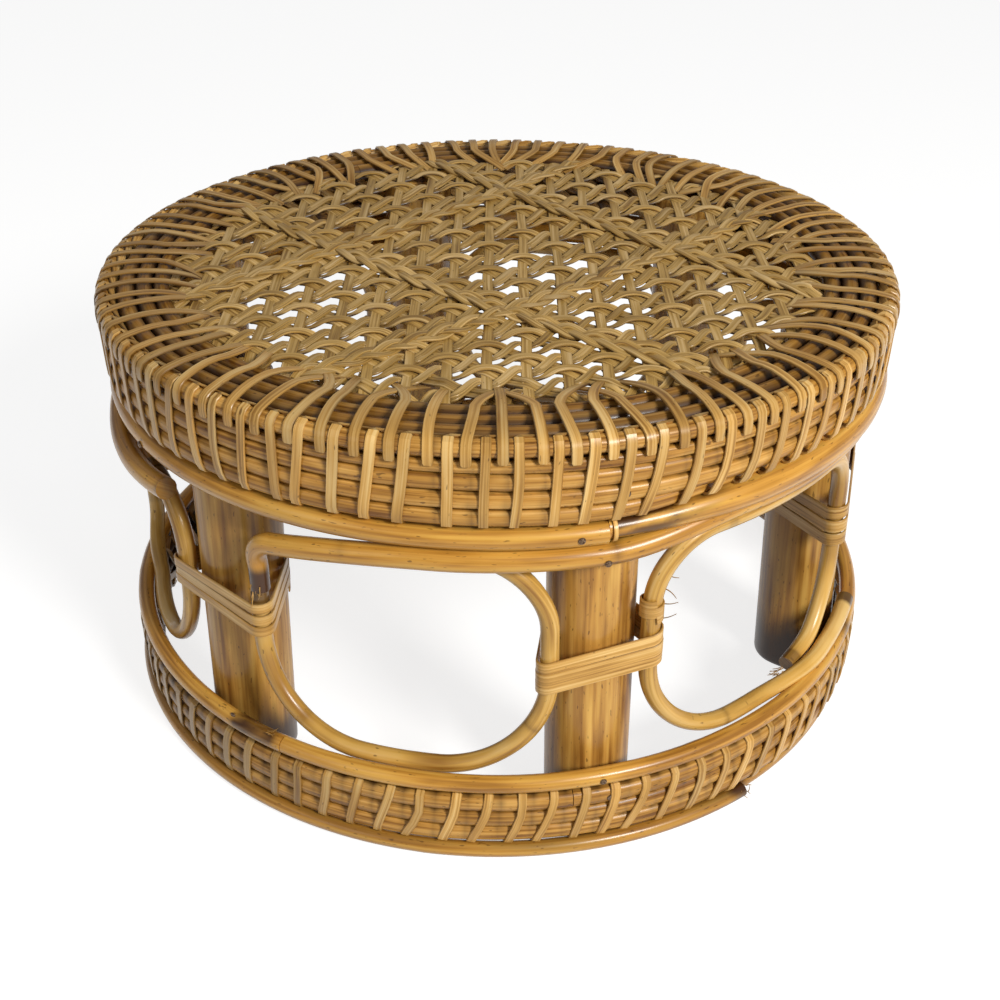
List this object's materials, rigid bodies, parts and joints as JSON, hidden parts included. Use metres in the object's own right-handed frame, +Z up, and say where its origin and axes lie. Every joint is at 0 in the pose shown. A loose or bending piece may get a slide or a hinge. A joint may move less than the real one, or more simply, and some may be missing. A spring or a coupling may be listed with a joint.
{
  "type": "mudda stool",
  "caption": "Low round cane stool: an openwork woven seat on a bound drum rim, upright poles with lashed bent-cane loops between them, and a bound base ring",
  "frame": {"origin": "on the floor, at the middle of the base ring, under the middle of the seat", "axes": "+Z up along the stool's axis, -Y towards the viewer of the front, +X to that viewer's right"},
  "size_m": [0.372, 0.372, 0.1969],
  "materials": {
    "weave_cane": "satin lacquer on split cane",
    "binding_cane": "satin lacquer on split cane",
    "rod_cane": "satin lacquer on peeled round cane",
    "hoop_cane": "gloss lacquer on round cane",
    "pole_cane": "gloss lacquer on thick cane poles"
  },
  "bodies": {
    "root": {"seat_weave": "weave_cane", "corner_rod": "rod_cane", "rim_rod_1": "rod_cane", "rim_rod_2": "rod_cane", "rim_rod_3": "rod_cane", "side_rod_1": "rod_cane", "side_rod_2": "rod_cane", "side_rod_3": "rod_cane", "side_rod_4": "rod_cane", "seat_binding_1": "binding_cane", "seat_binding_2": "binding_cane", "seat_binding_3": "binding_cane", "seat_binding_4": "binding_cane", "upper_hoop": "hoop_cane", "lower_hoop": "hoop_cane", "leg_1": "pole_cane", "leg_2": "pole_cane", "leg_3": "pole_cane", "leg_4": "pole_cane", "leg_5": "pole_cane", "leg_6": "pole_cane", "loop_1": "hoop_cane", "loop_2": "hoop_cane", "loop_3": "hoop_cane", "loop_4": "hoop_cane", "loop_5": "hoop_cane", "loop_6": "hoop_cane", "lashing_1": "binding_cane", "lashing_2": "binding_cane", "lashing_3": "binding_cane", "lashing_4": "binding_cane", "lashing_5": "binding_cane", "lashing_6": "binding_cane", "base_hoop": "hoop_cane", "base_rod_1": "rod_cane", "base_rod_2": "rod_cane", "base_rod_3": "rod_cane", "base_binding_1": "binding_cane", "base_binding_2": "binding_cane", "base_binding_3": "binding_cane", "base_binding_4": "binding_cane", "foot_hoop": "hoop_cane"}
  },
  "joints": []
}
